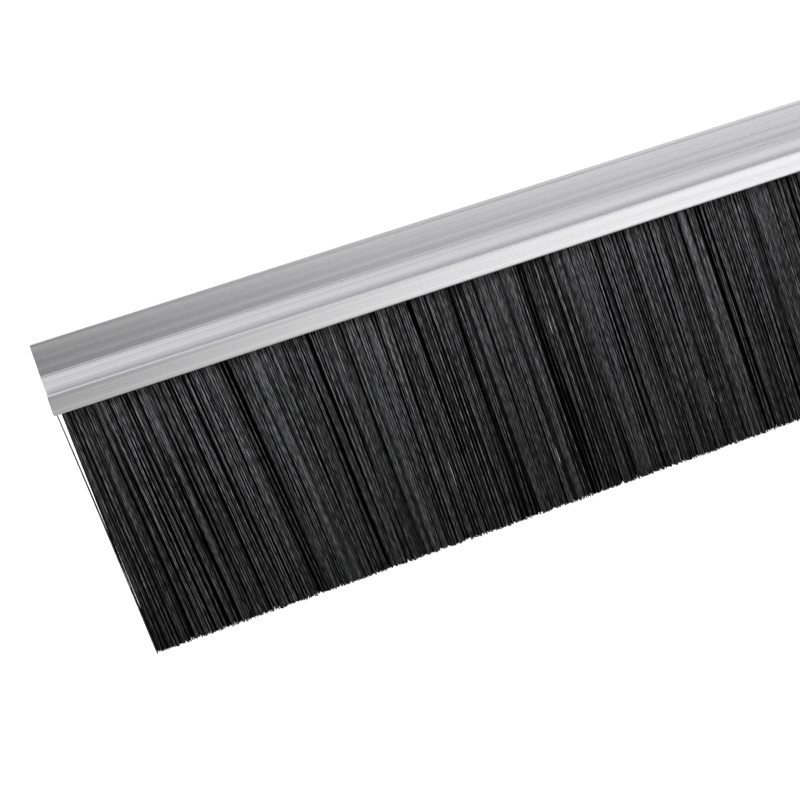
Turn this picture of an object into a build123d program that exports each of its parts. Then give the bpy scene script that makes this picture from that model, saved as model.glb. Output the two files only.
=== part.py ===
from build123d import *
import os
from math import radians, sin, sqrt

# Brush door sweep: an aluminium carrier that is screwed or glued flat against a door, and a
# strip brush whose galvanised steel backing slides into the carrier's channel from one end.
# Millimetres. +X runs along the sweep, +Z is up, and the front faces -Y. The origin is the
# centre of the carrier's flat back face, so the door's surface is the plane Y = 0.

# ---- overall -------------------------------------------------------------------------------
LENGTH = 1000.0
CARRIER_HEIGHT = 20.0
BRISTLE_REACH = 70.0          # filament below the carrier's lower edge

CARRIER_TOP = CARRIER_HEIGHT / 2
CARRIER_BOTTOM = -CARRIER_HEIGHT / 2
BRISTLE_TIP = CARRIER_BOTTOM - BRISTLE_REACH

# ---- aluminium extrusion -------------------------------------------------------------------
BACK_WALL = 1.3               # flat flange, and the wall behind the channel
FRONT_WALL = 1.1
WALL_DRAFT = 0.35             # the front face slopes back this far, up to the nose
CHANNEL_WIDTH = 5.4
CARRIER_DEPTH = BACK_WALL + CHANNEL_WIDTH + FRONT_WALL
FLANGE_HEIGHT = 9.2           # flat face above the cove
COVE_HEIGHT = 5.0
COVE_HALF_ANGLE = 33.0        # degrees swept each side of the cove's chord
CHANNEL_ROOF = -5.2
LIP_HEIGHT = 0.7              # inward lips that stop the strip dropping out of the channel
LIP_REACH = 0.75
TOP_BAND_HEIGHT = 0.95        # thickened band along the top edge
TOP_BAND_PROUD = 0.25
RIDGE_RADIUS = 0.22           # fine bead where the flange meets the cove
NOSE_RADIUS = 0.6             # rounded edge between the cove and the front wall
FOOT_RADIUS = 0.7             # rounded lower front edge
EDGE_BREAK = 0.2              # other outer corners

FLANGE_FACE = -BACK_WALL
FRONT_FACE = -CARRIER_DEPTH
NOSE_FACE = FRONT_FACE + WALL_DRAFT
CHANNEL_FRONT = -(BACK_WALL + CHANNEL_WIDTH)
CHANNEL_CENTRE = -(BACK_WALL + CHANNEL_WIDTH / 2)
COVE_TOP = CARRIER_TOP - FLANGE_HEIGHT
NOSE = COVE_TOP - COVE_HEIGHT
LIP_TOP = CARRIER_BOTTOM + LIP_HEIGHT

# ---- strip brush: steel channel, core wire and the folded filaments ------------------------
BRUSH_INSET = 1.2             # the strip stops this far inside each end of the carrier
SLIDE_GAP = 0.2               # running clearance between the strip and the carrier
STEEL = 0.5                   # sheet thickness
STEEL_RADIUS = 0.8            # outer bend at the top of the steel channel
STEEL_CRIMP_HEIGHT = 0.75     # the legs turn inwards over this height, to grip the filaments
STEEL_CRIMP = 0.3
WIRE_DIAMETER = 1.5
FOLD_THICKNESS = 0.85         # filament over the top of the wire
FOLD_GAP = 0.05
CURTAIN_ROOT = 3.2            # thickness of the filament curtain where it leaves the carrier
CURTAIN_TIP = 4.2

BRUSH_LENGTH = LENGTH - 2 * BRUSH_INSET
STEEL_WIDTH = CHANNEL_WIDTH - 2 * SLIDE_GAP
STEEL_TOP = CHANNEL_ROOF - SLIDE_GAP
STEEL_BOTTOM = LIP_TOP + SLIDE_GAP
WIRE_CENTRE = STEEL_TOP - STEEL - FOLD_THICKNESS - WIRE_DIAMETER / 2

# ---- bristle curtain: short lengths that bend on their own ---------------------------------
SECTIONS = 10
SECTION_GAP = 0.3
HINGE_GAP = 0.3               # under the lips, so that a bent section clears them
HINGE_Z = CARRIER_BOTTOM - HINGE_GAP - CURTAIN_ROOT / 2
SECTION_LENGTH = (BRUSH_LENGTH - (SECTIONS - 1) * SECTION_GAP) / SECTIONS


def run_along_x(profile, length, centre_x=0.0):
    """Extrudes a face drawn in the YZ plane to a length along X, about centre_x."""
    return Pos(centre_x, 0, 0) * extrude(profile, amount=length / 2, both=True)


def closed_profile(*edges):
    """A face in the YZ plane from edges whose points are (y, z)."""
    return make_face(Plane.YZ * (Curve() + list(edges)))


def mirrored_outline(half):
    """Points of a closed outline about the channel's centre line, from those of its front half."""
    front = [(CHANNEL_CENTRE - y, z) for y, z in half]
    back = [(CHANNEL_CENTRE + y, z) for y, z in reversed(half)]
    return front + back


def cove_middle(start, end):
    """The middle point of the cove's arc, which bows down and back into the metal."""
    chord_y, chord_z = end[0] - start[0], end[1] - start[1]
    chord = sqrt(chord_y**2 + chord_z**2)
    radius = chord / 2 / sin(radians(COVE_HALF_ANGLE))
    bow = radius - sqrt(radius**2 - (chord / 2) ** 2)
    normal_y, normal_z = -chord_z / chord, chord_y / chord
    return (
        (start[0] + end[0]) / 2 + bow * normal_y,
        (start[1] + end[1]) / 2 + bow * normal_z,
    )


def carrier_profile():
    """The whole extrusion: flange, cove, and the lipped channel that holds the brush."""
    band_face = FLANGE_FACE - TOP_BAND_PROUD
    band_foot = CARRIER_TOP - TOP_BAND_HEIGHT
    ridge_top, ridge_foot = COVE_TOP + RIDGE_RADIUS, COVE_TOP - RIDGE_RADIUS
    cove_start, cove_end = (FLANGE_FACE, ridge_foot), (NOSE_FACE, NOSE)
    upper = Polyline(
        (0, CARRIER_BOTTOM),
        (0, CARRIER_TOP),
        (band_face, CARRIER_TOP),
        (band_face, band_foot),
        (FLANGE_FACE, band_foot - TOP_BAND_PROUD),
        (FLANGE_FACE, ridge_top),
    )
    ridge = ThreePointArc(
        (FLANGE_FACE, ridge_top), (FLANGE_FACE - RIDGE_RADIUS, COVE_TOP), cove_start
    )
    cove = ThreePointArc(cove_start, cove_middle(cove_start, cove_end), cove_end)
    lower = Polyline(
        cove_end,
        (FRONT_FACE, CARRIER_BOTTOM),
        (CHANNEL_FRONT + LIP_REACH, CARRIER_BOTTOM),
        (CHANNEL_FRONT + LIP_REACH, LIP_TOP),
        (CHANNEL_FRONT, LIP_TOP),
        (CHANNEL_FRONT, CHANNEL_ROOF),
        (FLANGE_FACE, CHANNEL_ROOF),
        (FLANGE_FACE, LIP_TOP),
        (FLANGE_FACE - LIP_REACH, LIP_TOP),
        (FLANGE_FACE - LIP_REACH, CARRIER_BOTTOM),
        (0, CARRIER_BOTTOM),
    )
    return closed_profile(upper, ridge, cove, lower)


def corner_at(solid, y, z):
    """The lengthwise edges of a solid at one corner of its profile."""
    return [
        edge
        for edge in solid.edges().filter_by(Axis.X)
        if abs(edge.center().Y - y) < 1e-3 and abs(edge.center().Z - z) < 1e-3
    ]


def make_carrier():
    """The extrusion as one solid, with its outer edges rounded."""
    carrier = run_along_x(carrier_profile(), LENGTH)
    carrier = fillet(corner_at(carrier, NOSE_FACE, NOSE), NOSE_RADIUS)
    carrier = fillet(corner_at(carrier, FRONT_FACE, CARRIER_BOTTOM), FOOT_RADIUS)
    outer = corner_at(carrier, 0, CARRIER_TOP) + corner_at(carrier, 0, CARRIER_BOTTOM)
    outer += corner_at(carrier, FLANGE_FACE - TOP_BAND_PROUD, CARRIER_TOP)
    return fillet(outer, EDGE_BREAK)


def slice_between(solid, y_back, y_front):
    """The part of a solid between two planes parallel to the door."""
    middle, depth = (y_back + y_front) / 2, y_back - y_front
    return solid & Pos(0, middle, 0) * Box(2 * LENGTH, depth, 4 * CARRIER_HEIGHT)


def make_carrier_walls():
    """The extrusion cut into its three walls, which meet face to face around the channel."""
    carrier = make_carrier()
    beyond = CARRIER_DEPTH
    back = slice_between(carrier, beyond, FLANGE_FACE - LIP_REACH)
    lip_and_band = back - run_along_x(cove_root_zone(), 2 * LENGTH)
    front = slice_between(carrier, CHANNEL_FRONT + LIP_REACH, FRONT_FACE - beyond)
    front -= run_along_x(nose_zone(), 2 * LENGTH)
    cove = carrier - lip_and_band - front
    return {
        "carrier_mounting_flange": lip_and_band,
        "carrier_cove": cove,
        "carrier_front_wall": front,
    }


def cove_root_zone():
    """In front of the flange, from the fine bead down to the channel: it goes with the cove."""
    front = FLANGE_FACE - 2 * LIP_REACH
    return closed_profile(
        Polyline(
            (FLANGE_FACE, COVE_TOP - RIDGE_RADIUS),
            (front, COVE_TOP - RIDGE_RADIUS),
            (front, CHANNEL_ROOF),
            (FLANGE_FACE, CHANNEL_ROOF),
            close=True,
        )
    )


def nose_zone():
    """Behind the front wall and above the channel: it goes with the cove."""
    back = CHANNEL_FRONT + 2 * LIP_REACH
    return closed_profile(
        Polyline(
            (CHANNEL_FRONT, COVE_TOP),
            (back, COVE_TOP),
            (back, CHANNEL_ROOF),
            (CHANNEL_FRONT, CHANNEL_ROOF),
            close=True,
        )
    )


def make_steel_channel():
    """Folded sheet, open downwards, whose legs are crimped in at the mouth."""
    half, crimp_top = STEEL_WIDTH / 2, STEEL_BOTTOM + STEEL_CRIMP_HEIGHT
    outside = [
        (half, STEEL_TOP),
        (half, crimp_top),
        (half - STEEL_CRIMP, STEEL_BOTTOM),
    ]
    inside = [
        (half - STEEL, STEEL_TOP - STEEL),
        (half - STEEL, crimp_top),
        (half - STEEL - STEEL_CRIMP, STEEL_BOTTOM),
    ]
    body = run_along_x(
        closed_profile(Polyline(*mirrored_outline(outside), close=True)), BRUSH_LENGTH
    )
    body = fillet(top_edges(body, STEEL_TOP), STEEL_RADIUS)
    hollow = run_along_x(
        closed_profile(Polyline(*mirrored_outline(inside), close=True)), 2 * LENGTH
    )
    hollow = fillet(top_edges(hollow, STEEL_TOP - STEEL), STEEL_RADIUS - STEEL)
    return body - hollow


def top_edges(solid, z):
    """The lengthwise edges of a solid at one height."""
    return [e for e in solid.edges().filter_by(Axis.X) if abs(e.center().Z - z) < 1e-3]


def make_core_wire():
    """The wire that the filaments are folded over."""
    at = Plane(
        origin=(0, CHANNEL_CENTRE, WIRE_CENTRE), x_dir=(0, 1, 0), z_dir=(1, 0, 0)
    )
    return extrude(at * Circle(WIRE_DIAMETER / 2), amount=BRUSH_LENGTH / 2, both=True)


def make_filament_fold():
    """The filaments inside the steel channel: up one side of the wire and down the other."""
    inner = STEEL_WIDTH / 2 - STEEL - FOLD_GAP
    crimp_top = STEEL_BOTTOM + STEEL_CRIMP_HEIGHT
    outline = [
        (inner, STEEL_TOP - STEEL - FOLD_GAP),
        (inner, crimp_top),
        (CURTAIN_ROOT / 2, STEEL_BOTTOM),
        (CURTAIN_ROOT / 2, CARRIER_BOTTOM),
    ]
    body = run_along_x(
        closed_profile(Polyline(*mirrored_outline(outline), close=True)), BRUSH_LENGTH
    )
    body = fillet(
        top_edges(body, STEEL_TOP - STEEL - FOLD_GAP), STEEL_RADIUS - STEEL + FOLD_GAP
    )
    at = Plane(
        origin=(0, CHANNEL_CENTRE, WIRE_CENTRE), x_dir=(0, 1, 0), z_dir=(1, 0, 0)
    )
    return body - extrude(
        at * Circle(WIRE_DIAMETER / 2 + FOLD_GAP), amount=LENGTH, both=True
    )


def section_centre(index):
    """X of the middle of one curtain section, counted from the -X end."""
    pitch = SECTION_LENGTH + SECTION_GAP
    return (index - (SECTIONS - 1) / 2) * pitch


def make_bristle_section(index):
    """One length of the curtain: round where it bends, and a little thicker at the tips."""
    root, tip = CURTAIN_ROOT / 2, CURTAIN_TIP / 2
    front, back = CHANNEL_CENTRE - root, CHANNEL_CENTRE + root
    bend = ThreePointArc(
        (back, HINGE_Z), (CHANNEL_CENTRE, HINGE_Z + root), (front, HINGE_Z)
    )
    curtain = Polyline(
        (front, HINGE_Z),
        (CHANNEL_CENTRE - tip, BRISTLE_TIP),
        (CHANNEL_CENTRE + tip, BRISTLE_TIP),
        (back, HINGE_Z),
    )
    return run_along_x(
        closed_profile(bend, curtain), SECTION_LENGTH, section_centre(index)
    )


def make_nodes():
    """Every node's solid, under the node's name."""
    nodes = make_carrier_walls()
    nodes["steel_channel"] = make_steel_channel()
    nodes["core_wire"] = make_core_wire()
    nodes["filament_fold"] = make_filament_fold()
    for index in range(SECTIONS):
        nodes[f"bristle_section_{index + 1:02d}"] = make_bristle_section(index)
    return nodes


os.makedirs("parts", exist_ok=True)
for name, solid in make_nodes().items():
    solid.label = name
    export_step(solid, f"parts/{name}.step")
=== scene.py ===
"""A brush door sweep in a white studio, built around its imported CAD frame.

Metres throughout, in the frame of the CAD model: +X runs along the sweep, +Z is up, the door is
the plane Y = 0 and the front faces -Y.
"""

import logging
import math
from dataclasses import dataclass
from enum import Enum
from functools import partial
from typing import Any

import bmesh
import bpy
from mathutils import Matrix, Vector

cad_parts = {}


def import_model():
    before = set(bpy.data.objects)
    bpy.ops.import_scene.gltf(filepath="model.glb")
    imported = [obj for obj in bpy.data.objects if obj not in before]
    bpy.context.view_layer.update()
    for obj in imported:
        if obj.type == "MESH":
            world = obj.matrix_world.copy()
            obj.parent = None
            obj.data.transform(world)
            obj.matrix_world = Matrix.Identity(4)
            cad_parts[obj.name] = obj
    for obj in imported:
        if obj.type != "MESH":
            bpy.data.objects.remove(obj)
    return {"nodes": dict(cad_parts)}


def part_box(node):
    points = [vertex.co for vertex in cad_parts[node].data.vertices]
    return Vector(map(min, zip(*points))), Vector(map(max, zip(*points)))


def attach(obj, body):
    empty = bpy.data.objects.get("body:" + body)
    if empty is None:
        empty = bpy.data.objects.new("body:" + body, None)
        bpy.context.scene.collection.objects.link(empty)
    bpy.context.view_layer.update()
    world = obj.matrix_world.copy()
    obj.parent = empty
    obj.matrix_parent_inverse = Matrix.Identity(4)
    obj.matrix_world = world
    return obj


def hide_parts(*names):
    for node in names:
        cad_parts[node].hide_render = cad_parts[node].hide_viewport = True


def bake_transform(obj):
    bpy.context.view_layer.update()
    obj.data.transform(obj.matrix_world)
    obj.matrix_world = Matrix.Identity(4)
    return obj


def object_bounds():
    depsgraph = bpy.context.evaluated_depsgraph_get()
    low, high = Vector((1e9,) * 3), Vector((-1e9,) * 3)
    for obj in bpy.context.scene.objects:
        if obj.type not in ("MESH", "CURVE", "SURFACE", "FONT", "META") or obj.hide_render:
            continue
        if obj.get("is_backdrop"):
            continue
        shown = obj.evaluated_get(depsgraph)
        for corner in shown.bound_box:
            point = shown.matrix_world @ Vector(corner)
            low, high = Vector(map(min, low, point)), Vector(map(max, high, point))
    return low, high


LOG = logging.getLogger("door_sweep")
MM = 0.001
NOISE_LOW, NOISE_HIGH = 0.3, 0.7  # most of a noise texture lies between these
WAVE_PERIOD = math.tau / 20  # of a wave texture at a scale of 1


class Body(Enum):
    """The rigid bodies of the frame that pieces ride on."""

    CARRIER = "carrier"
    STRIP = "brush_strip"


class Slot(Enum):
    """The record's material slots."""

    ALUMINIUM = "mill_aluminium"
    FILAMENT = "black_filament"


# ---- shared tools --------------------------------------------------------------------------


def linear(hex_colour: str) -> tuple[float, float, float, float]:
    """Turns an sRGB hex colour to linear light.

    Args:
        hex_colour: six hex digits after a hash.

    Returns:
        Red, green and blue in linear light, and an alpha of 1.
    """
    parts = [int(hex_colour[i : i + 2], 16) / 255 for i in (1, 3, 5)]
    red, green, blue = (
        c / 12.92 if c <= 0.04045 else ((c + 0.055) / 1.055) ** 2.4 for c in parts
    )
    return red, green, blue, 1.0


def add_node(
    tree: bpy.types.NodeTree,
    kind: str,
    feeds: dict[int | str, Any] | None = None,
    **settings: Any,
) -> bpy.types.NodeSocket:
    """Adds one node with its settings, and feeds its inputs.

    Args:
        tree: the node tree to add to.
        kind: the node's type name.
        feeds: input name or number to a value, or to the output socket that drives it.
        **settings: properties of the node itself, set before its inputs.

    Returns:
        The node's first output in use, or its first input if it has no output.
    """
    node = tree.nodes.new(kind)
    for name, value in settings.items():
        setattr(node, name, value)
    for name, source in (feeds or {}).items():
        socket = next(
            s for i, s in enumerate(node.inputs) if s.enabled and name in (i, s.name)
        )
        if isinstance(source, bpy.types.NodeSocket):
            tree.links.new(source, socket)
        else:
            socket.default_value = source
    in_use = [s for s in node.outputs if s.enabled] or list(node.inputs)
    return in_use[0]


def new_piece(name: str, mesh: bpy.types.Mesh) -> bpy.types.Object:
    """Puts an object that shows a mesh at the scene's origin.

    Args:
        name: the object's name.
        mesh: what it shows.

    Returns:
        The object, linked to the scene.
    """
    piece = bpy.data.objects.new(name, mesh)
    bpy.context.scene.collection.objects.link(piece)
    return piece


def extruded(
    name: str,
    outline: list[Vector],
    span: tuple[float, float],
    deburr: tuple[float, float],
    smooth_below: float = math.radians(25),
) -> bpy.types.Mesh:
    """Extrudes a closed outline along X, with its cut edges broken.

    Args:
        name: the mesh's name.
        outline: (y, z) points, anticlockwise seen with y to the right and z up.
        span: X of the two cut ends.
        deburr: how far the outline is drawn in at each end, and over what length. It turns
            more than smooth_below, so that its shading doesn't run on along the faces.
        smooth_below: edges that turn less than this are shaded smooth.

    Returns:
        A closed mesh; its cut ends have material index 1.
    """
    count = len(outline)
    inwards = []
    for i, point in enumerate(outline):
        along = outline[(i + 1) % count] - outline[i - 1]
        inwards.append(Vector((-along.y, along.x)).normalized())
    left, right = span
    depth, length = deburr
    stations = ((left, depth), (left + length, 0), (right - length, 0), (right, depth))
    shape = bmesh.new()
    rings = [
        [
            shape.verts.new((x, *(point + inward * drawn_in)))
            for point, inward in zip(outline, inwards)
        ]
        for x, drawn_in in stations
    ]
    for ring, following in zip(rings, rings[1:]):
        for i in range(count):
            j = (i + 1) % count
            shape.faces.new((ring[i], ring[j], following[j], following[i]))
    caps = [shape.faces.new(rings[0]), shape.faces.new(rings[-1])]
    for cap in caps:
        cap.material_index = 1
        # the filling of a hollow outline goes by its normal
        cap.normal_update()
    bmesh.ops.triangulate(shape, faces=caps)
    bmesh.ops.recalc_face_normals(shape, faces=shape.faces)
    for face in shape.faces:
        face.smooth = True
    mesh = bpy.data.meshes.new(name)
    shape.to_mesh(mesh)
    shape.free()
    mesh.set_sharp_from_angle(angle=smooth_below)
    return mesh


@dataclass(frozen=True)
class Corner:
    """One corner of an outline, in the YZ plane, and the radius it is rounded to."""

    y: float
    z: float
    radius: float = 0.0
    steps: int = 8
    hold: float = 0.03 * MM

    def points(self, before: Vector, after: Vector) -> list[Vector]:
        """Rounds the corner between its neighbours.

        A held point close beside each end of the arc keeps the flats' shading flat.

        Args:
            before: the corner that leads here.
            after: the corner that follows.

        Returns:
            The outline's points at this corner.
        """
        here = Vector((self.y, self.z))
        if not self.radius:
            return [here]
        back, on = (before - here).normalized(), (after - here).normalized()
        half = back.angle(on) / 2
        cut = self.radius / math.tan(half)
        centre = here + (back + on).normalized() * (self.radius / math.sin(half))
        first = here + back * cut - centre
        turn = -first.angle_signed(here + on * cut - centre)
        arc = [
            centre + Matrix.Rotation(turn * step / self.steps, 2) @ first
            for step in range(self.steps + 1)
        ]
        return [here + back * (cut + self.hold), *arc, here + on * (cut + self.hold)]


def rounded(corners: list[Corner]) -> list[Vector]:
    """Rounds every corner of a closed outline.

    Args:
        corners: the outline's corners, in order.

    Returns:
        The outline's points, in the same order.
    """
    places = [Vector((corner.y, corner.z)) for corner in corners]
    points = []
    for i, corner in enumerate(corners):
        points += corner.points(places[i - 1], places[(i + 1) % len(places)])
    return points


def arc_points(
    centre: Vector, radius: float, first: float, last: float, steps: int
) -> list[Vector]:
    """Points along an arc in the YZ plane.

    Args:
        centre: the arc's centre.
        radius: its radius.
        first: the angle it starts at, anticlockwise from +Y.
        last: the angle it ends at.
        steps: how many pieces it is divided into.

    Returns:
        The points, both ends included.
    """
    angles = (first + (last - first) * step / steps for step in range(steps + 1))
    return [centre + Vector((math.cos(a), math.sin(a))) * radius for a in angles]


# ---- finishes ------------------------------------------------------------------------------


@dataclass(frozen=True)
class Finish:
    """One real surface finish. A subclass draws its pattern.

    A pattern takes the roughness down by glossier and up by duller.
    """

    name: str
    colour: str
    roughness: float
    metallic: float = 0.0
    gloss: float = 0.5
    glow: float = 0.0
    glossier: float = 0.0
    duller: float = 0.0

    def material(self) -> bpy.types.Material:
        """Makes the finish as a node material, once.

        Returns:
            The material.
        """
        made = bpy.data.materials.get(self.name)
        if made is None:
            made = bpy.data.materials.new(self.name)
            made.use_nodes = True
            made.node_tree.nodes.clear()
            add = partial(add_node, made.node_tree)
            shader = add(
                "ShaderNodeBsdfPrincipled",
                {
                    "Base Color": linear(self.colour),
                    "Roughness": self.roughness,
                    "Metallic": self.metallic,
                    "Specular IOR Level": self.gloss,
                    "Emission Color": linear(self.colour),
                    "Emission Strength": self.glow,
                },
            )
            add("ShaderNodeOutputMaterial", {"Surface": shader})
            for socket, source in self.pattern(add).items():
                made.node_tree.links.new(source, shader.node.inputs[socket])
        return made

    def pattern(self, add: partial) -> dict[str, bpy.types.NodeSocket]:
        """Draws the finish's pattern; a plain finish has none.

        Args:
            add: adds a node to the material's tree.

        Returns:
            The shader's input names, and what feeds each.
        """
        return {}


@dataclass(frozen=True)
class ExtrudedAluminium(Finish):
    """Mill-finish 6063 aluminium, as it leaves the extrusion die.

    Bright and satin, with faint lines and streaks drawn lengthwise by the die and fine pick-up
    specks, so that reflections are soft and slightly brushed along the length.
    """

    name: str = "mill_finish_aluminium"
    colour: str = "#e6e6e7"
    roughness: float = 0.29
    metallic: float = 1.0
    darker: str = "#cacacf"
    lighter: str = "#ffffff"
    glossier: float = 0.04
    duller: float = 0.05
    # real die lines and specks are finer, and are drawn as coarse as they need to be to show
    line_width: float = 1.6 * MM
    line_length: float = 900 * MM
    line_detail: float = 4.0
    line_sharpness: float = 0.62
    speck: float = 0.3 * MM
    speck_weight: float = 0.36
    tone_low: float = 0.42
    tone_high: float = 0.94
    relief: float = 0.014 * MM

    def pattern(self, add: partial) -> dict[str, bpy.types.NodeSocket]:
        """Draws die lines as tone, gloss and height, and specks as tone.

        Args:
            add: adds a node to the material's tree.

        Returns:
            The shader's input names, and what feeds each.
        """
        place = add("ShaderNodeTexCoord").node.outputs["Object"]
        fine = 1 / self.line_width
        drawn_out = add(
            "ShaderNodeMapping",
            {"Vector": place, "Scale": (1 / self.line_length, fine, fine)},
        )
        lines = add(
            "ShaderNodeTexNoise",
            {
                "Vector": drawn_out,
                "Scale": 1.0,
                "Detail": self.line_detail,
                "Roughness": self.line_sharpness,
            },
        )
        specks = add("ShaderNodeTexNoise", {"Vector": place, "Scale": 1 / self.speck})
        both = add(
            "ShaderNodeMath",
            {0: specks, 1: self.speck_weight, 2: lines},
            operation="MULTIPLY_ADD",
        )
        tone = add(
            "ShaderNodeMapRange",
            {"Value": both, "From Min": self.tone_low, "From Max": self.tone_high},
        )
        paint = add(
            "ShaderNodeMix",
            {"Factor": tone, "A": linear(self.darker), "B": linear(self.lighter)},
            data_type="RGBA",
        )
        gloss = add(
            "ShaderNodeMapRange",
            {
                "Value": lines,
                "From Min": NOISE_LOW,
                "From Max": NOISE_HIGH,
                "To Min": self.roughness - self.glossier,
                "To Max": self.roughness + self.duller,
            },
        )
        height = add(
            "ShaderNodeBump", {"Strength": 1.0, "Distance": self.relief, "Height": lines}
        )
        return {"Base Color": paint, "Roughness": gloss, "Normal": height}


@dataclass(frozen=True)
class SawnAluminium(Finish):
    """The extrusion's cut ends: duller, with the saw's fine marks across the section."""

    name: str = "saw_cut_aluminium"
    colour: str = "#c4c4c7"
    roughness: float = 0.42
    metallic: float = 1.0
    tooth_mark: float = 0.25 * MM
    waver: float = 1.5
    waver_detail: float = 2.0
    relief: float = 0.008 * MM

    def pattern(self, add: partial) -> dict[str, bpy.types.NodeSocket]:
        """Draws the saw's marks as slightly wavering grooves.

        Args:
            add: adds a node to the material's tree.

        Returns:
            The shader's input names, and what feeds each.
        """
        place = add("ShaderNodeTexCoord").node.outputs["Object"]
        marks = add(
            "ShaderNodeTexWave",
            {
                "Vector": place,
                "Scale": WAVE_PERIOD / self.tooth_mark,
                "Distortion": self.waver,
                "Detail": self.waver_detail,
            },
            bands_direction="Z",
        ).node.outputs["Fac"]
        height = add(
            "ShaderNodeBump", {"Strength": 1.0, "Distance": self.relief, "Height": marks}
        )
        return {"Normal": height}


@dataclass(frozen=True)
class GalvanisedSteel(Finish):
    """Hot-dip galvanised sheet: zinc grey and satin, in crystal patches that differ in gloss."""

    name: str = "galvanised_steel"
    colour: str = "#b4b8bb"
    roughness: float = 0.36
    metallic: float = 1.0
    glossier: float = 0.08
    duller: float = 0.12
    darkest: str = "#a6abaf"
    spangle: float = 2.5 * MM

    def pattern(self, add: partial) -> dict[str, bpy.types.NodeSocket]:
        """Draws the spangle: each zinc crystal has its own gloss and a slight tone.

        Args:
            add: adds a node to the material's tree.

        Returns:
            The shader's input names, and what feeds each.
        """
        place = add("ShaderNodeTexCoord").node.outputs["Object"]
        crystals = add(
            "ShaderNodeTexVoronoi", {"Vector": place, "Scale": 1 / self.spangle}
        ).node.outputs["Color"]
        gloss = add(
            "ShaderNodeMapRange",
            {
                "Value": crystals,
                "To Min": self.roughness - self.glossier,
                "To Max": self.roughness + self.duller,
            },
        )
        paint = add(
            "ShaderNodeMix",
            {"Factor": crystals, "A": linear(self.darkest), "B": linear(self.colour)},
            data_type="RGBA",
        )
        return {"Base Color": paint, "Roughness": gloss}


@dataclass(frozen=True)
class DrawnWire(Finish):
    """Drawn steel wire: mid grey, with fine drawing lines along it."""

    name: str = "drawn_steel_wire"
    colour: str = "#94979a"
    roughness: float = 0.3
    metallic: float = 1.0
    glossier: float = 0.08
    duller: float = 0.1
    # real drawing lines are finer, and are drawn as coarse as they need to be to show
    line_width: float = 0.15 * MM
    line_length: float = 30 * MM
    relief: float = 0.006 * MM

    def pattern(self, add: partial) -> dict[str, bpy.types.NodeSocket]:
        """Draws the drawing lines as height and gloss.

        Args:
            add: adds a node to the material's tree.

        Returns:
            The shader's input names, and what feeds each.
        """
        place = add("ShaderNodeTexCoord").node.outputs["Object"]
        fine = 1 / self.line_width
        drawn_out = add(
            "ShaderNodeMapping",
            {"Vector": place, "Scale": (1 / self.line_length, fine, fine)},
        )
        lines = add("ShaderNodeTexNoise", {"Vector": drawn_out, "Scale": 1.0})
        gloss = add(
            "ShaderNodeMapRange",
            {
                "Value": lines,
                "To Min": self.roughness - self.glossier,
                "To Max": self.roughness + self.duller,
            },
        )
        height = add(
            "ShaderNodeBump", {"Strength": 1.0, "Distance": self.relief, "Height": lines}
        )
        return {"Roughness": gloss, "Normal": height}


@dataclass(frozen=True)
class BlackFilament(Finish):
    """Crimp-drawn black polypropylene monofilament.

    Satin black with a narrow sheen along each filament. Each one is a little lighter or darker
    than its neighbours, partly at random and partly as a painted sheen; painted glints ripple
    along its crimp, and painted shade darkens it towards the tip.
    """

    name: str = "black_polypropylene_filament"
    colour: str = "#1b1b1d"
    roughness: float = 0.42
    gloss: float = 0.08
    # the darkest tone, which the painted shade of the core and of the tips goes towards
    darkest: str = "#010101"
    # partly painted sheen: the lit filaments are painted this light
    lightest_tone_and_sheen: str = "#ababae"
    # the crimp's glints are painted into the colour, at this spacing
    painted_glint_crimp: float = 2.2 * MM
    painted_glint_least: float = 0.25
    # painted shade: a filament's tone falls to this share at the tip, over length
    shaded_tip_share: float = 0.36
    lanes: float = 5000.0
    length: float = 70 * MM

    def pattern(self, add: partial) -> dict[str, bpy.types.NodeSocket]:
        """Takes each filament's tone, breaks it into fine painted glints along its crimp, and
        darkens it towards the tip as painted shade.

        Args:
            add: adds a node to the material's tree.

        Returns:
            The shader's input names, and what feeds each.
        """
        tone = add(
            "ShaderNodeAttribute", attribute_name=FilamentTree.TONE
        ).node.outputs["Fac"]
        way = add(
            "ShaderNodeAttribute", attribute_name=FilamentTree.WAY
        ).node.outputs["Fac"]
        # each filament reads its own line of the noise, chosen by its tone
        lane = add("ShaderNodeMath", {0: tone, 1: self.lanes}, operation="MULTIPLY")
        kinks = add("ShaderNodeMath", {0: way, 1: self.painted_glint_crimp}, operation="DIVIDE")
        place = add("ShaderNodeCombineXYZ", {0: lane, 1: kinks})
        painted_glint_crimp = add("ShaderNodeTexNoise", {"Vector": place, "Scale": 1.0, "Detail": 0.0})
        # painted glints: the crimp noise brightens and dims the colour along each filament
        painted_glint = add(
            "ShaderNodeMapRange",
            {
                "Value": painted_glint_crimp,
                "From Min": NOISE_LOW,
                "From Max": NOISE_HIGH,
                "To Min": self.painted_glint_least,
                "To Max": 1.0,
            },
        )
        # painted shade, darker towards the tips
        painted_tip_shade = add(
            "ShaderNodeMapRange",
            {"Value": way, "From Max": self.length, "To Min": 1.0, "To Max": self.shaded_tip_share},
        )
        light = add("ShaderNodeMath", {0: tone, 1: painted_glint}, operation="MULTIPLY")
        light = add("ShaderNodeMath", {0: light, 1: painted_tip_shade}, operation="MULTIPLY")
        paint = add(
            "ShaderNodeMix",
            {"Factor": light, "A": linear(self.darkest), "B": linear(self.lightest_tone_and_sheen)},
            data_type="RGBA",
        )
        return {"Base Color": paint}


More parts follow.
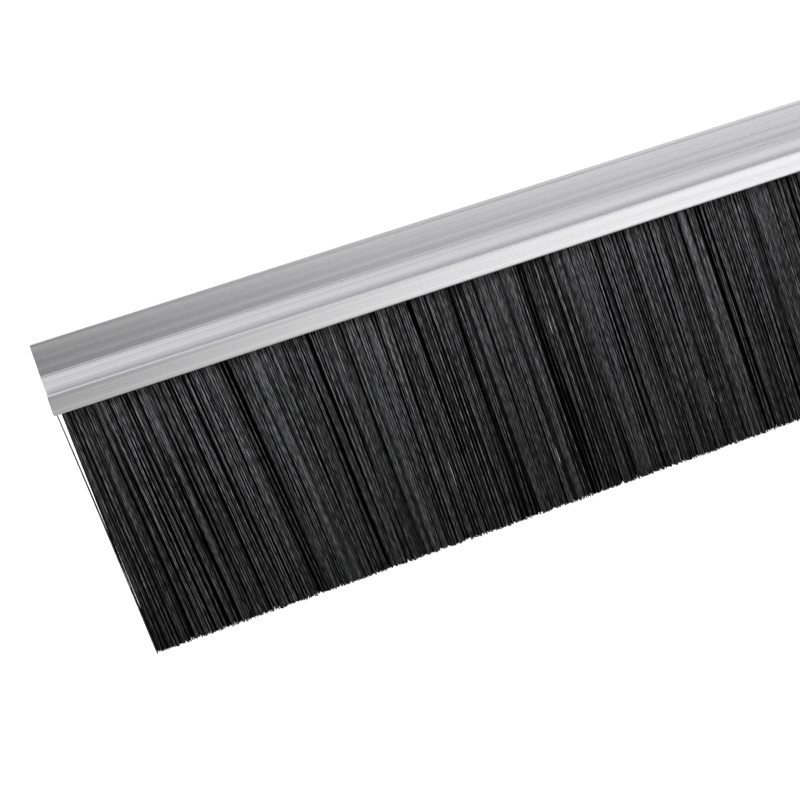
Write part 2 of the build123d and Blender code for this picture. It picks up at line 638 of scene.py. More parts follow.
@dataclass(frozen=True)
class BacklitFloor(Finish):
    """A floor lit from below: white as it is seen, and grey where the metal mirrors it."""

    name: str = "backlit_white_acrylic"
    colour: str = "#f4f4f4"
    roughness: float = 0.9
    mirrored: str = "#b4b4b4"

    def pattern(self, add: partial) -> dict[str, bpy.types.NodeSocket]:
        """Keeps the floor's whiteness out of the reflections, as flags would in a studio.

        Args:
            add: adds a node to the material's tree.

        Returns:
            The shader's input names, and what feeds each.
        """
        seen = add("ShaderNodeLightPath").node.outputs["Is Camera Ray"]
        paint = add(
            "ShaderNodeMix",
            {"Factor": seen, "A": linear(self.mirrored), "B": linear(self.colour)},
            data_type="RGBA",
        )
        glow = add("ShaderNodeMath", {0: seen, 1: self.glow}, operation="MULTIPLY")
        return {"Base Color": paint, "Emission Strength": glow}


# ---- the aluminium carrier -----------------------------------------------------------------


@dataclass
class Carrier:
    """The extrusion: a flat flange, a cove, and a lipped channel, drawn in one piece."""

    cove_height: float = 5.0 * MM
    cove_half_angle: float = math.radians(33)
    cove_steps: int = 44
    bead_steps: int = 10
    band_height: float = 0.95 * MM
    band_proud: float = 0.25 * MM
    bead_radius: float = 0.22 * MM
    lip_height: float = 0.7 * MM
    front_wall: float = 1.1 * MM
    wall_draft: float = 0.35 * MM
    nose_radius: float = 0.6 * MM
    nose_room: float = 1.15
    foot_radius: float = 0.4 * MM
    edge_break: float = 0.2 * MM
    inner_radius: float = 0.12 * MM
    deburr: tuple[float, float] = (0.08 * MM, 0.14 * MM)
    nodes: tuple[str, ...] = (
        "carrier_mounting_flange",
        "carrier_cove",
        "carrier_front_wall",
    )

    def cove(self, start: Vector, end: Vector) -> list[Vector]:
        """Draws the cove, which bows back and down into the metal.

        Args:
            start: its upper edge, on the flange's face.
            end: its lower edge, where the nose is rounded.

        Returns:
            Its points, without those that the rounded nose takes away.
        """
        chord = end - start
        radius = chord.length / 2 / math.sin(self.cove_half_angle)
        open_side = Vector((chord.y, -chord.x)).normalized()
        centre = (start + end) / 2 + open_side * radius * math.cos(self.cove_half_angle)
        spoke = start - centre
        first = math.atan2(spoke.y, spoke.x)
        spoke = end - centre
        last = math.atan2(spoke.y, spoke.x)
        if last > first:
            last -= math.tau
        points = arc_points(centre, radius, first, last, self.cove_steps)
        clear = self.nose_radius * self.nose_room
        return [p for p in points if (p - end).length > clear]

    def outline(self) -> list[Vector]:
        """Draws the whole outline, from the lower edge of its back, anticlockwise.

        Returns:
            The outline's points, in the YZ plane.
        """
        flange, cove, _ = (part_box(node) for node in self.nodes)
        bottom, top = flange[0].z, flange[1].z
        face, wall = cove[1].y, cove[0].y
        front_face = wall - self.front_wall
        reach = face - flange[0].y
        roof, lip_top = cove[0].z, bottom + self.lip_height
        band, band_foot = face - self.band_proud, top - self.band_height
        bead = Vector((face, cove[1].z + self.bead_radius))
        nose = Vector((front_face + self.wall_draft, bead.y - self.cove_height))
        small, inner = self.edge_break / 2, self.inner_radius
        upper = [
            Corner(0, bottom, self.edge_break),
            Corner(0, top, self.edge_break),
            Corner(band, top, self.edge_break),
            Corner(band, band_foot, small),
            Corner(face, band_foot - self.band_proud, small),
        ]
        bead_arc = arc_points(
            bead, self.bead_radius, math.pi / 2, 1.5 * math.pi, self.bead_steps
        )
        cove_arc = self.cove(bead_arc[-1], nose)
        lower = [
            Corner(*nose, self.nose_radius),
            Corner(front_face, bottom, self.foot_radius),
            Corner(wall + reach, bottom, inner),
            Corner(wall + reach, lip_top, inner),
            Corner(wall, lip_top, inner),
            Corner(wall, roof, inner),
            Corner(face, roof, inner),
            Corner(face, lip_top, inner),
            Corner(face - reach, lip_top, inner),
            Corner(face - reach, bottom, inner),
        ]
        curves = [Corner(*point) for point in bead_arc + cove_arc[1:]]
        return rounded(upper + curves + lower)

    def build(self) -> bpy.types.Object:
        """Makes the extrusion, dresses it and rides it on the carrier's body.

        Returns:
            The finished piece.
        """
        low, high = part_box(self.nodes[0])
        mesh = extruded(
            "carrier_extrusion", self.outline(), (low.x, high.x), self.deburr
        )
        mesh.materials.append(ExtrudedAluminium().material())
        mesh.materials.append(SawnAluminium().material())
        piece = new_piece("carrier_extrusion", mesh)
        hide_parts(*self.nodes)
        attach(piece, Body.CARRIER.value)
        return piece


# ---- grown pieces: filaments by geometry nodes ---------------------------------------------


class FilamentTree:
    """A Geometry Nodes tree that places thin tubes. A subclass says where they run."""

    TONE = "tone"
    WAY = "way"
    NAME = "filaments"
    TURNS = 37.0  # radians that a filament is turned by for its tone
    INPUTS: dict[str, str] = {}

    def __init__(self, finish: Finish) -> None:
        """Builds the tree once, for every piece that it makes.

        Args:
            finish: what the filaments are made of.
        """
        self.tree = bpy.data.node_groups.new(self.NAME, "GeometryNodeTree")
        self.add = partial(add_node, self.tree)
        self.sockets = {
            name: self.tree.interface.new_socket(
                name, in_out="INPUT", socket_type=f"NodeSocket{kind}"
            ).identifier
            for name, kind in self.INPUTS.items()
        }
        self.tree.interface.new_socket(
            "Geometry", in_out="OUTPUT", socket_type="NodeSocketGeometry"
        )
        self.given = self.add("NodeGroupInput").node.outputs
        real = self.add("GeometryNodeRealizeInstances", {"Geometry": self.tubes()})
        dressed = self.add(
            "GeometryNodeSetMaterial", {"Geometry": real, "Material": finish.material()}
        )
        self.add("NodeGroupOutput", {"Geometry": dressed})

    def chances(self, salt: int) -> list[bpy.types.NodeSocket]:
        """Draws three numbers from -1 to 1 for each filament.

        Args:
            salt: sets these numbers apart from the tree's others with the same seed.

        Returns:
            The three numbers.
        """
        seed = self.add("ShaderNodeMath", {0: self.given["Seed"], 1: salt}, operation="ADD")
        drawn = self.add(
            "FunctionNodeRandomValue",
            {"Min": (-1, -1, -1), "Max": (1, 1, 1), "Seed": seed},
            data_type="FLOAT_VECTOR",
        )
        return list(self.add("ShaderNodeSeparateXYZ", {0: drawn}).node.outputs)

    def strands(self, points: bpy.types.NodeSocket) -> bpy.types.NodeSocket:
        """Puts one curve at each point, still straight.

        Args:
            points: where the filaments are.

        Returns:
            The curves, with their points' attributes.
        """
        add, given = self.add, self.given
        line = add(
            "GeometryNodeResampleCurve",
            {"Curve": add("GeometryNodeCurvePrimitiveLine"), "Count": given["Points Each"]},
        )
        planted = add("GeometryNodeInstanceOnPoints", {"Points": points, "Instance": line})
        return add("GeometryNodeRealizeInstances", {"Geometry": planted})

    def thickened(self, curves: bpy.types.NodeSocket) -> bpy.types.NodeSocket:
        """Turns curves to thin closed tubes, each turned to its own angle.

        Args:
            curves: the filaments' middles.

        Returns:
            The tubes.
        """
        add = self.add
        tone = add("GeometryNodeInputNamedAttribute", {"Name": self.TONE}, data_type="FLOAT")
        turns = add("ShaderNodeMath", {0: tone, 1: self.TURNS}, operation="MULTIPLY")
        curves = add("GeometryNodeSetCurveTilt", {"Curve": curves, "Tilt": turns})
        way = add("GeometryNodeSplineParameter").node.outputs["Length"]
        curves = add(
            "GeometryNodeStoreNamedAttribute",
            {"Geometry": curves, "Name": self.WAY, "Value": way},
            data_type="FLOAT",
        )
        section = add(
            "GeometryNodeCurvePrimitiveCircle",
            {"Resolution": self.given["Sides"], "Radius": self.given["Radius"]},
        )
        tubes = add(
            "GeometryNodeCurveToMesh",
            {"Curve": curves, "Profile Curve": section, "Fill Caps": True},
        )
        return add("GeometryNodeSetShadeSmooth", {"Geometry": tubes})

    def tubes(self) -> bpy.types.NodeSocket:
        """Gives the tree's tubes."""
        raise NotImplementedError

    def grow(self, name: str, sizes: dict[str, float | int]) -> bpy.types.Mesh:
        """Runs the tree and keeps what it made as a plain mesh.

        Args:
            name: the mesh's name.
            sizes: the tree's input names and their values.

        Returns:
            The mesh.
        """
        grower = new_piece(name + "_grower", bpy.data.meshes.new(name + "_grower"))
        modifier = grower.modifiers.new("filaments", "NODES")
        modifier.node_group = self.tree
        for socket, value in sizes.items():
            modifier[self.sockets[socket]] = value
        bpy.context.view_layer.update()
        seen = grower.evaluated_get(bpy.context.evaluated_depsgraph_get())
        mesh = bpy.data.meshes.new_from_object(seen)
        mesh.name = name
        bpy.data.objects.remove(grower)
        return mesh


class CurtainTree(FilamentTree):
    """Grows one section of the hanging curtain."""

    NAME = "bristle_section"
    ROOT = "root"
    SWEEP = "sweep"
    BOW = "bow"
    ROOT_CROWDING = 1.5  # the power that brings a filament's points closer to its root
    # painted shade: the core's filaments are painted at the darkest tone
    CORE_TONE = 0.002  # a filament darker than this belongs to the black core
    LEAST_TONE = 0.05  # of a filament outside the core
    SHOWN_FROM = 0.25  # how far out of the core a filament has its full tone
    SIDES_APART = 300.0  # keeps the front's bundles apart from the back's
    DEPTH_APART = 50.0  # keeps the clumps' depth apart from their shift
    INPUTS = {
        "Left X": "Float",
        "Section Length": "Float",
        "Centre Y": "Float",
        "Root Z": "Float",
        "Tip Z": "Float",
        "Root Thickness": "Float",
        "Tip Thickness": "Float",
        "Strip Left X": "Float",
        "Lean": "Float",
        "End Lean": "Float",
        "Edge Lean": "Float",
        "Edge Width": "Float",
        "End Lean Full": "Float",
        "End Lean Gone": "Float",
        "Clump Width": "Float",
        "Clump Shift": "Float",
        "Clump Depth": "Float",
        "Bundle Width": "Float",
        "Bundle Shift": "Float",
        "Core Share": "Float",
        "Core Size": "Float",
        "Stray Lean": "Float",
        "Bow": "Float",
        "Ragged": "Float",
        "Strays": "Int",
        "Stray Gap": "Float",
        "Stray Return": "Float",
        "Radius": "Float",
        "Sides": "Int",
        "Filaments": "Int",
        "Points Each": "Int",
        "Seed": "Int",
    }

    def tubes(self) -> bpy.types.NodeSocket:
        """Hangs each filament from its root along its own sweep, with a slight bow.

        Returns:
            The section's tubes.
        """
        add = self.add
        curves = self.strands(self.roots())
        factor = add("GeometryNodeSplineParameter")
        # closer points near the root, where the filament bends
        along = add("ShaderNodeMath", {0: factor, 1: self.ROOT_CROWDING}, operation="POWER")
        rest = add("ShaderNodeMath", {0: 1.0, 1: along}, operation="SUBTRACT")
        arch = add("ShaderNodeMath", {0: along, 1: rest}, operation="MULTIPLY")
        path = add(
            "GeometryNodeInputNamedAttribute", {"Name": self.ROOT}, data_type="FLOAT_VECTOR"
        )
        for name, amount in ((self.SWEEP, along), (self.BOW, arch)):
            stored = add(
                "GeometryNodeInputNamedAttribute", {"Name": name}, data_type="FLOAT_VECTOR"
            )
            part = add("ShaderNodeVectorMath", {0: stored, "Scale": amount}, operation="SCALE")
            path = add("ShaderNodeVectorMath", {0: path, 1: part}, operation="ADD")
        curves = add("GeometryNodeSetPosition", {"Geometry": curves, "Position": path})
        # the core, painted black as shade, is drawn with thicker filaments, so that no light
        # comes through
        tone = add("GeometryNodeInputNamedAttribute", {"Name": self.TONE}, data_type="FLOAT")
        size = add(
            "ShaderNodeMapRange",
            {
                "Value": tone,
                "From Max": self.CORE_TONE,
                "To Min": self.given["Core Size"],
                "To Max": 1.0,
            },
        )
        curves = add("GeometryNodeSetCurveRadius", {"Curve": curves, "Radius": size})
        return self.thickened(curves)

    def lean(self, x: bpy.types.NodeSocket) -> bpy.types.NodeSocket:
        """How far a filament leans along X for each metre that it hangs.

        Args:
            x: the filament's place.

        Returns:
            The lean, which grows towards the strip's left end.
        """
        given = self.given
        from_end = self.add(
            "ShaderNodeMath", {0: x, 1: given["Strip Left X"]}, operation="SUBTRACT"
        )
        near_end = self.add(
            "ShaderNodeMapRange",
            {
                "Value": from_end,
                "From Max": given["Edge Width"],
                "To Min": given["Edge Lean"],
                "To Max": given["End Lean"],
            },
            interpolation_type="SMOOTHSTEP",
        )
        return self.add(
            "ShaderNodeMapRange",
            {
                "Value": from_end,
                "From Min": given["End Lean Full"],
                "From Max": given["End Lean Gone"],
                "To Min": near_end,
                "To Max": given["Lean"],
            },
            interpolation_type="SMOOTHSTEP",
        )

    def clumping(
        self,
        x: bpy.types.NodeSocket,
        width: str,
        salt: float | bpy.types.NodeSocket,
        most: str,
    ) -> bpy.types.NodeSocket:
        """A shift that neighbouring filaments share.

        Args:
            x: the filament's place.
            width: the input that says how far neighbours reach.
            salt: sets this pattern apart from others along the same length.
            most: the input that says how large the shift is.

        Returns:
            The shift, up to about half of most either way.
        """
        add = self.add
        place = add("ShaderNodeMath", {0: x, 1: self.given[width]}, operation="DIVIDE")
        place = add("ShaderNodeMath", {0: place, 1: salt}, operation="ADD")
        wave = add(
            "ShaderNodeTexNoise",
            {"W": place, "Scale": 1.0, "Detail": 2.0},
            noise_dimensions="1D",
        )
        wave = add("ShaderNodeMath", {0: wave, 1: 0.5}, operation="SUBTRACT")
        return add("ShaderNodeMath", {0: wave, 1: self.given[most]}, operation="MULTIPLY")

    def roots(self) -> bpy.types.NodeSocket:
        """Places a point for each filament.

        Returns:
            The points, with each filament's root, sweep, bow and tone.
        """
        add, given = self.add, self.given
        along, across, uneven = self.chances(1)
        bow_x, bow_y, astray = self.chances(2)
        tone = self.chances(3)[0]

        order = add("GeometryNodeInputIndex")
        stray = add("ShaderNodeMath", {0: order, 1: given["Strays"]}, operation="LESS_THAN")
        gap = add("ShaderNodeMath", {0: stray, 1: given["Stray Gap"]}, operation="MULTIPLY")
        share = add(
            "ShaderNodeMath", {0: along, 1: 0.5, 2: order}, operation="MULTIPLY_ADD"
        )
        share = add("ShaderNodeMath", {0: share, 1: given["Filaments"]}, operation="DIVIDE")
        x = add(
            "ShaderNodeMath",
            {0: share, 1: given["Section Length"], 2: given["Left X"]},
            operation="MULTIPLY_ADD",
        )
        aside = add("ShaderNodeMath", {0: across, 1: 0.5}, operation="MULTIPLY")
        y = add(
            "ShaderNodeMath",
            {0: aside, 1: given["Root Thickness"], 2: given["Centre Y"]},
            operation="MULTIPLY_ADD",
        )
        root_x = add("ShaderNodeMath", {0: x, 1: gap}, operation="SUBTRACT")
        root = add("ShaderNodeCombineXYZ", {0: root_x, 1: y, 2: given["Root Z"]})

        hang = add(
            "ShaderNodeMath", {0: given["Root Z"], 1: given["Tip Z"]}, operation="SUBTRACT"
        )
        hang = add(
            "ShaderNodeMath",
            {0: uneven, 1: given["Ragged"], 2: hang},
            operation="MULTIPLY_ADD",
        )
        size = add("ShaderNodeMath", {0: astray}, operation="ABSOLUTE")
        astray = add("ShaderNodeMath", {0: astray, 1: size}, operation="MULTIPLY")
        lean = add(
            "ShaderNodeMath",
            {0: astray, 1: given["Stray Lean"], 2: self.lean(x)},
            operation="MULTIPLY_ADD",
        )
        drift = add(
            "ShaderNodeMath",
            {0: lean, 1: hang, 2: self.clumping(x, "Clump Width", 0.0, "Clump Shift")},
            operation="MULTIPLY_ADD",
        )
        # front and back are bundled apart, and only the outer filaments gather
        depth = add("ShaderNodeMath", {0: across}, operation="ABSOLUTE")
        outer = add(
            "ShaderNodeMapRange", {"Value": depth, "From Min": given["Core Share"]}
        )
        side = add("ShaderNodeMath", {0: across}, operation="SIGN")
        side = add("ShaderNodeMath", {0: side, 1: self.SIDES_APART}, operation="MULTIPLY")
        bundle = self.clumping(x, "Bundle Width", side, "Bundle Shift")
        drift = add(
            "ShaderNodeMath", {0: bundle, 1: outer, 2: drift}, operation="MULTIPLY_ADD"
        )
        drift = add(
            "ShaderNodeMath",
            {0: gap, 1: given["Stray Return"], 2: drift},
            operation="MULTIPLY_ADD",
        )
        flare = add(
            "ShaderNodeMath",
            {0: given["Tip Thickness"], 1: given["Root Thickness"]},
            operation="SUBTRACT",
        )
        deeper = self.clumping(x, "Clump Width", self.DEPTH_APART, "Clump Depth")
        spread = add(
            "ShaderNodeMath", {0: aside, 1: flare, 2: deeper}, operation="MULTIPLY_ADD"
        )
        drop = add("ShaderNodeMath", {0: hang, 1: -1.0}, operation="MULTIPLY")
        sweep = add("ShaderNodeCombineXYZ", {0: drift, 1: spread, 2: drop})
        arched = add("ShaderNodeCombineXYZ", {0: bow_x, 1: bow_y})
        bow = add("ShaderNodeVectorMath", {0: arched, "Scale": given["Bow"]}, operation="SCALE")

        # the core is painted black as shade inside the curtain; only the outer filaments keep
        # their tone
        light = add("ShaderNodeMath", {0: tone}, operation="ABSOLUTE")
        light = add("ShaderNodeMapRange", {"Value": light, "To Min": self.LEAST_TONE})
        shown = add("ShaderNodeMapRange", {"Value": outer, "From Max": self.SHOWN_FROM})
        light = add("ShaderNodeMath", {0: light, 1: shown}, operation="MULTIPLY")

        points = add("GeometryNodePoints", {"Count": given["Filaments"]})
        for name, value in ((self.ROOT, root), (self.SWEEP, sweep), (self.BOW, bow)):
            points = add(
                "GeometryNodeStoreNamedAttribute",
                {"Geometry": points, "Name": name, "Value": value},
                data_type="FLOAT_VECTOR",
            )
        return add(
            "GeometryNodeStoreNamedAttribute",
            {"Geometry": points, "Name": self.TONE, "Value": light},
            data_type="FLOAT",
        )


class LoopTree(FilamentTree):
    """Grows the folded filaments that pass over the core wire at one end of the strip."""

    NAME = "filament_loops"
    RING = "ring"
    INPUTS = {
        "Left X": "Float",
        "Depth": "Float",
        "Wire Y": "Float",
        "Wire Z": "Float",
        "Least Ring": "Float",
        "Most Ring": "Float",
        "Leg": "Float",
        "Radius": "Float",
        "Sides": "Int",
        "Filaments": "Int",
        "Points Each": "Int",
        "Seed": "Int",
    }

    def tubes(self) -> bpy.types.NodeSocket:
        """Runs each filament up one side of the wire, over it, and down the other.

        Returns:
            The loops' tubes.
        """
        add, given = self.add, self.given
        curves = self.strands(self.rings())
        stored = add(
            "GeometryNodeInputNamedAttribute", {"Name": self.RING}, data_type="FLOAT_VECTOR"
        )
        x, ring, _ = add("ShaderNodeSeparateXYZ", {0: stored}).node.outputs
        factor = add("GeometryNodeSplineParameter")
        # the way along, as an angle: past a quarter turn each side it runs straight down
        leg = add("ShaderNodeMath", {0: given["Leg"], 1: ring}, operation="DIVIDE")
        reach = add("ShaderNodeMath", {0: leg, 1: math.pi / 2}, operation="ADD")
        both_ways = add(
            "ShaderNodeMath", {0: factor, 1: 2.0, 2: -1.0}, operation="MULTIPLY_ADD"
        )
        way = add("ShaderNodeMath", {0: both_ways, 1: reach}, operation="MULTIPLY")
        turned = add("ShaderNodeMath", {0: way, 1: math.pi / 2}, operation="MINIMUM")
        turned = add("ShaderNodeMath", {0: turned, 1: -math.pi / 2}, operation="MAXIMUM")
        past = add("ShaderNodeMath", {0: way, 1: turned}, operation="SUBTRACT")
        past = add("ShaderNodeMath", {0: past}, operation="ABSOLUTE")
        aside = add("ShaderNodeMath", {0: turned}, operation="SINE")
        above = add("ShaderNodeMath", {0: turned}, operation="COSINE")
        above = add("ShaderNodeMath", {0: above, 1: past}, operation="SUBTRACT")
        y = add(
            "ShaderNodeMath",
            {0: aside, 1: ring, 2: given["Wire Y"]},
            operation="MULTIPLY_ADD",
        )
        z = add(
            "ShaderNodeMath",
            {0: above, 1: ring, 2: given["Wire Z"]},
            operation="MULTIPLY_ADD",
        )
        path = add("ShaderNodeCombineXYZ", {0: x, 1: y, 2: z})
        curves = add("GeometryNodeSetPosition", {"Geometry": curves, "Position": path})
        return self.thickened(curves)

    def rings(self) -> bpy.types.NodeSocket:
        """Places a point for each loop.

        Returns:
            The points, with each loop's place along X, radius and tone.
        """
        add, given = self.add, self.given
        along, out, tone = self.chances(1)
        x = add(
            "ShaderNodeMapRange",
            {"Value": along, "From Min": -1.0, "To Min": 0.0, "To Max": given["Depth"]},
        )
        x = add("ShaderNodeMath", {0: x, 1: given["Left X"]}, operation="ADD")
        ring = add(
            "ShaderNodeMapRange",
            {
                "Value": out,
                "From Min": -1.0,
                "To Min": given["Least Ring"],
                "To Max": given["Most Ring"],
            },
        )
        place = add("ShaderNodeCombineXYZ", {0: x, 1: ring})
        light = add("ShaderNodeMath", {0: tone}, operation="ABSOLUTE")
        points = add("GeometryNodePoints", {"Count": given["Filaments"]})
        points = add(
            "GeometryNodeStoreNamedAttribute",
            {"Geometry": points, "Name": self.RING, "Value": place},
            data_type="FLOAT_VECTOR",
        )
        return add(
            "GeometryNodeStoreNamedAttribute",
            {"Geometry": points, "Name": self.TONE, "Value": light},
            data_type="FLOAT",
        )


# ---- the strip brush -----------------------------------------------------------------------


@dataclass
class StripBacking:
    """What grips the filaments: steel channel, core wire, and the filaments' folded middles."""

    radius: float = 0.14 * MM
    end_depth: float = 2.4 * MM
    loops: int = 110
    loop_sides: int = 5
    loop_points: int = 18
    seed: int = 7
    bore_steps: int = 24
    slit: float = 0.05 * MM
    shoulder_radius: float = 0.35 * MM
    mouth_gap: float = 0.5 * MM
    pinch_height: float = 1.65 * MM
    pinch: float = 0.35 * MM

    def dress_cad(self, nodes: dict[str, bpy.types.Object]) -> None:
        """Gives the channel and the wire, whose CAD shapes stay, their real finishes.

        Args:
            nodes: the frame's CAD objects by name.
        """
        for node, finish in (
            ("steel_channel", GalvanisedSteel()),
            ("core_wire", DrawnWire()),
        ):
            for slot in nodes[node].material_slots:
                slot.material = finish.material()

    def core_outline(self) -> list[Vector]:
        """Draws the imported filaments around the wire: an arch, pinched shut under it.

        Returns:
            The outline's points, in the YZ plane.
        """
        low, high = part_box("filament_fold")
        wire_low, wire_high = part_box("core_wire")
        middle = (low.y + high.y) / 2
        half, wire_z = (high.y - low.y) / 2, (wire_low.z + wire_high.z) / 2
        around = (wire_high.z - wire_low.z) / 2 + self.slit
        foot, shoulder = low.z + self.mouth_gap, low.z + self.pinch_height
        waist = half - self.pinch
        opening = math.asin(self.slit / around)
        bore = arc_points(
            Vector((middle, wire_z)),
            around,
            -math.pi / 2 + opening,
            1.5 * math.pi - opening,
            self.bore_steps,
        )
        return rounded(
            [
                Corner(middle + self.slit, foot),
                Corner(middle + waist, foot),
                Corner(middle + half, shoulder),
                Corner(middle + half, high.z, self.shoulder_radius),
                Corner(middle - half, high.z, self.shoulder_radius),
                Corner(middle - half, shoulder),
                Corner(middle - waist, foot),
                Corner(middle - self.slit, foot),
                *(Corner(*point) for point in reversed(bore)),
            ]
        )

    def loop_sizes(self, left: float) -> dict[str, float | int]:
        """Gives the loops at one end their sizes.

        Args:
            left: X where the loops start.

        Returns:
            The loop tree's input names and their values.
        """
        low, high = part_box("filament_fold")
        wire_low, wire_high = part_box("core_wire")
        wire_z = (wire_low.z + wire_high.z) / 2
        return {
            "Left X": left,
            "Depth": self.end_depth,
            "Wire Y": (low.y + high.y) / 2,
            "Wire Z": wire_z,
            "Least Ring": (wire_high.z - wire_low.z) / 2 + self.radius,
            "Most Ring": high.z - wire_z - self.radius,
            "Leg": wire_z - low.z - self.mouth_gap,
            "Radius": self.radius,
            "Sides": self.loop_sides,
            "Filaments": self.loops,
            "Points Each": self.loop_points,
            "Seed": self.seed,
        }

    def build(self, nodes: dict[str, bpy.types.Object]) -> bpy.types.Object:
        """Makes the folded filaments and rides them on the strip.

        Args:
            nodes: the frame's CAD objects by name.

        Returns:
            The finished piece.
        """
        self.dress_cad(nodes)
        low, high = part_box("filament_fold")
        finish = BlackFilament()
        inset = self.end_depth / 2
        span = (low.x + inset, high.x - inset)
        core = extruded("core", self.core_outline(), span, (self.radius / 2,) * 2)
        tree = LoopTree(finish)
        starts = (low.x + self.radius, high.x - self.radius - self.end_depth)
        whole = bmesh.new()
        parts = [core, *(tree.grow("loops", self.loop_sizes(left)) for left in starts)]
        for part in parts:
            whole.from_mesh(part)
        for face in whole.faces:
            face.material_index = 0
        mesh = bpy.data.meshes.new("folded_filaments")
        whole.to_mesh(mesh)
        whole.free()
        for part in parts:
            bpy.data.meshes.remove(part)
        mesh.materials.append(finish.material())
        piece = new_piece("folded_filaments", mesh)
        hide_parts("filament_fold")
        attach(piece, Body.STRIP.value)
        return piece


@dataclass
class BristleCurtain:
    """The hanging filaments, grown in the frame's sections, one piece each.

    The filaments of the core, painted black as shade, are drawn core_size times as thick as the
    others, which keeps light from coming through with few enough of them.
    """

    sections: int = 10
    filaments: int = 3600
    points_each: int = 7
    sides: int = 3
    seed_step: int = 100
    radius: float = 0.15 * MM
    root_depth: float = 0.6 * MM
    root_thickness: float = 3.1 * MM
    tip_thickness: float = 4.6 * MM
    lean: float = math.tan(math.radians(1.9))
    end_lean: float = math.tan(math.radians(5.8))
    edge_lean: float = math.tan(math.radians(3.6))
    edge_width: float = 14 * MM
    end_lean_full: float = 45 * MM
    end_lean_gone: float = 95 * MM
    clump_width: float = 6 * MM
    clump_shift: float = 2.2 * MM
    clump_depth: float = 1.6 * MM
    bundle_width: float = 0.9 * MM
    bundle_shift: float = 1.0 * MM
    core_share: float = 0.78
    core_size: float = 1.7
    stray_lean: float = math.tan(math.radians(1.0))
    bow: float = 1.1 * MM
    ragged: float = 0.5 * MM
    reach: float = 0.2 * MM
    strays: int = 5
    strays_from: float = 0.15 * MM
    stray_gap: float = 1.1 * MM
    stray_return: float = 0.62
    bend_length: float = 28 * MM

    def section(self, tree: CurtainTree, index: int) -> bpy.types.Object:
        """Grows one section, hanging from just above the channel's mouth.

        Args:
            tree: what grows it.
            index: its place, counted from the left end.

        Returns:
            The finished piece.
        """
        label = f"{index + 1:02d}"
        node = f"bristle_section_{label}"
        low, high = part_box(node)
        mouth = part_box("carrier_front_wall")[0].z
        at_end = index == 0
        gap = self.stray_gap if at_end else 0.0
        # an input that is named like one of the curtain's sizes takes it
        fields = {name: name.lower().replace(" ", "_") for name in tree.INPUTS}
        own = {name: getattr(self, key) for name, key in fields.items() if hasattr(self, key)}
        mesh = tree.grow(
            f"bristle_curtain_{label}",
            own
            | {
                "Left X": low.x + gap - self.reach,
                "Section Length": high.x - low.x - gap + 2 * self.reach,
                "Centre Y": (low.y + high.y) / 2,
                "Root Z": mouth + self.root_depth,
                "Tip Z": low.z,
                "Strip Left X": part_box("bristle_section_01")[0].x,
                "Strays": self.strays if at_end else 0,
                "Stray Gap": gap + self.strays_from if at_end else 0.0,
                "Seed": self.seed_step * (index + 1),
            },
        )
        piece = new_piece(mesh.name, mesh)
        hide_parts(node)
        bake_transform(piece)
        return piece

    def build(self) -> list[bpy.types.Object]:
        """Grows every section, from the left end."""
        tree = CurtainTree(BlackFilament())
        return [self.section(tree, index) for index in range(self.sections)]


# ---- the studio ----------------------------------------------------------------------------


@dataclass(frozen=True)
class Ramp:
    """A smooth rise in brightness over the sky, as one part of a direction goes up.

    Its low and high are numbers, or the names of earlier ramps.
    """

    name: str
    across: str
    start: float
    end: float
    low: float | str
    high: float | str


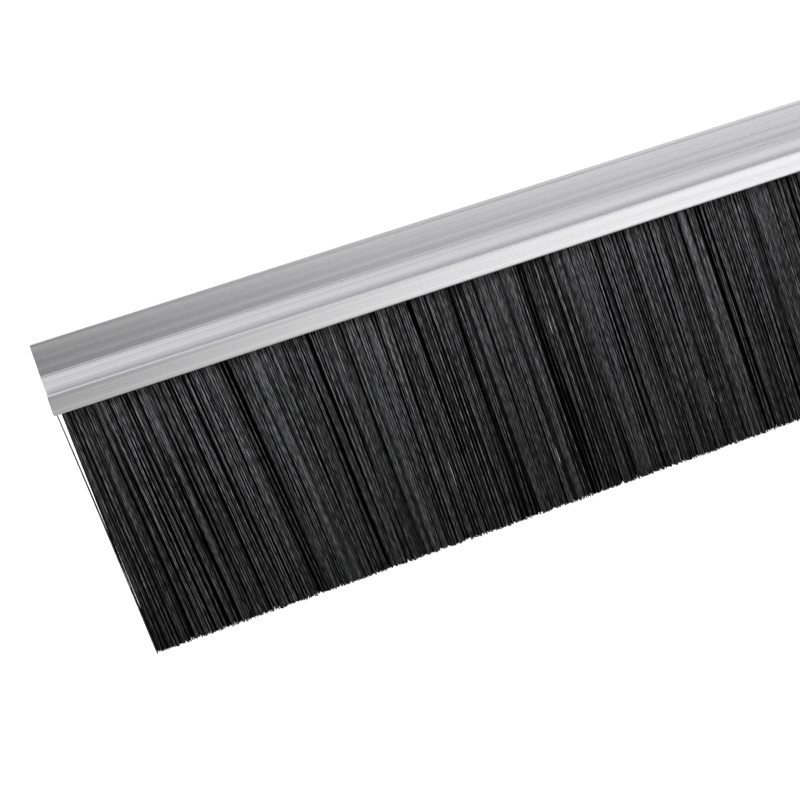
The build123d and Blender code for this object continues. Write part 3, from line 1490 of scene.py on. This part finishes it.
@dataclass
class Studio:
    """A pale floor, a soft overhead light in bright surroundings, and the camera."""

    focal_length: float = 74.88
    sensor_width: float = 36.0
    eye: tuple[float, float, float] = (-502.9 * MM, -459.9 * MM, 16.9 * MM)
    turned_right: float = math.radians(11.76)
    tipped_down: float = math.radians(6.50)
    rolled: float = math.radians(-17.49)
    floor_drop: float = 6 * MM
    floor_front: float = 0.35
    floor_half: float = 4.0
    floor_glow: float = 0.45
    lamp_power: float = 32.0
    lamp_at: tuple[float, float, float] = (0.4, -1.6, 2.0)
    lamp_size: tuple[float, float] = (1.4, 1.0)
    sky_seen: float = 1.05
    ramps: tuple[Ramp, ...] = (
        Ramp("right_wall", "x", 0.0, 0.6, 0.155, 0.36),
        Ramp("walls", "x", -0.25, 0.0, 0.04, "right_wall"),
        Ramp("lower_room", "z", 0.14, 0.36, "walls", 0.72),
        Ramp("room", "y", -0.6, 0.8, "lower_room", 1.2),
        Ramp("panel_sides", "x", 0.02, 0.26, 0.05, 1.4),
        Ramp("panel_foot", "z", -0.01, 0.09, 0.0, "panel_sides"),
        Ramp("panel", "z", 0.2, 0.42, "panel_foot", 0.0),
    )

    def camera(self) -> None:
        """Looks along the sweep from in front of its left end, rolled so that it climbs."""
        data = bpy.data.cameras.new("camera")
        data.lens, data.sensor_width = self.focal_length, self.sensor_width
        camera = bpy.data.objects.new("camera", data)
        bpy.context.scene.collection.objects.link(camera)
        yaw, down = self.turned_right, self.tipped_down
        forward = Vector(
            (
                math.sin(yaw) * math.cos(down),
                math.cos(yaw) * math.cos(down),
                -math.sin(down),
            )
        )
        level = Vector((math.cos(yaw), -math.sin(yaw), 0))
        above = level.cross(forward)
        right = level * math.cos(self.rolled) + above * math.sin(self.rolled)
        up = above * math.cos(self.rolled) - level * math.sin(self.rolled)
        turn = Matrix((right, up, -forward)).transposed().to_4x4()
        camera.matrix_world = Matrix.Translation(self.eye) @ turn
        bpy.context.scene.camera = camera

    def floor(self, lowest: float) -> None:
        """Lays a pale floor just under the filaments' tips.

        Args:
            lowest: the object's lowest height.
        """
        z, far, near = lowest - self.floor_drop, self.floor_half, -self.floor_front
        corners = [(-far, near, z), (far, near, z), (far, far, z), (-far, far, z)]
        mesh = bpy.data.meshes.new("floor")
        mesh.from_pydata(corners, [], [(0, 1, 2, 3)])
        mesh.materials.append(BacklitFloor(glow=self.floor_glow).material())
        floor = new_piece("floor", mesh)
        floor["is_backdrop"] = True

    def overhead_light(self) -> None:
        """Hangs a large soft light over and in front of the sweep."""
        data = bpy.data.lights.new("overhead", "AREA")
        data.shape = "RECTANGLE"
        data.size, data.size_y = self.lamp_size
        data.energy = self.lamp_power
        light = bpy.data.objects.new("overhead", data)
        bpy.context.scene.collection.objects.link(light)
        light.location = self.lamp_at
        light.rotation_mode = "QUATERNION"
        light.rotation_quaternion = light.location.to_track_quat("Z", "Y")
        # the panel in the surroundings is what the metal mirrors
        light.visible_glossy = False

    def surroundings(self) -> None:
        """Surrounds the sweep with soft light: dim in front, and a bright panel to the right.

        The metal mirrors this light. The camera itself sees plain white in its place.
        """
        world = bpy.data.worlds.new("studio")
        bpy.context.scene.world = world
        world.use_nodes = True
        world.node_tree.nodes.clear()
        add = partial(add_node, world.node_tree)
        way = add("ShaderNodeTexCoord").node.outputs["Generated"]
        made = dict(zip("xyz", add("ShaderNodeSeparateXYZ", {0: way}).node.outputs))
        for ramp in self.ramps:
            made[ramp.name] = add(
                "ShaderNodeMapRange",
                {
                    "Value": made[ramp.across],
                    "From Min": ramp.start,
                    "From Max": ramp.end,
                    "To Min": made.get(ramp.low, ramp.low),
                    "To Max": made.get(ramp.high, ramp.high),
                },
                interpolation_type="SMOOTHSTEP",
            )
        glow = add("ShaderNodeMath", {0: made["room"], 1: made["panel"]}, operation="ADD")
        seen = add("ShaderNodeLightPath").node.outputs["Is Camera Ray"]
        strength = add(
            "ShaderNodeMix",
            {"Factor": seen, "A": glow, "B": self.sky_seen},
            data_type="FLOAT",
        )
        lit = add(
            "ShaderNodeBackground", {"Color": linear("#ffffff"), "Strength": strength}
        )
        add("ShaderNodeOutputWorld", {"Surface": lit})

    def build(self, lowest: float) -> None:
        """Sets up the whole studio.

        Args:
            lowest: the object's lowest height, which the floor goes under.
        """
        self.camera()
        self.floor(lowest)
        self.overhead_light()
        self.surroundings()
        bpy.context.scene.view_settings.view_transform = "Standard"


def main() -> None:
    """Builds the sweep over its frame, then the studio around it."""
    logging.basicConfig(level=logging.INFO, format="%(name)s: %(message)s")
    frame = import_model()
    cad_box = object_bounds()
    pieces = [Carrier().build(), StripBacking().build(frame["nodes"])]
    pieces += BristleCurtain().build()
    for piece in pieces:
        LOG.info("%s: %d faces", piece.name, len(piece.data.polygons))
    Studio().build(cad_box[0].z)


if __name__ == "__main__":
    main()
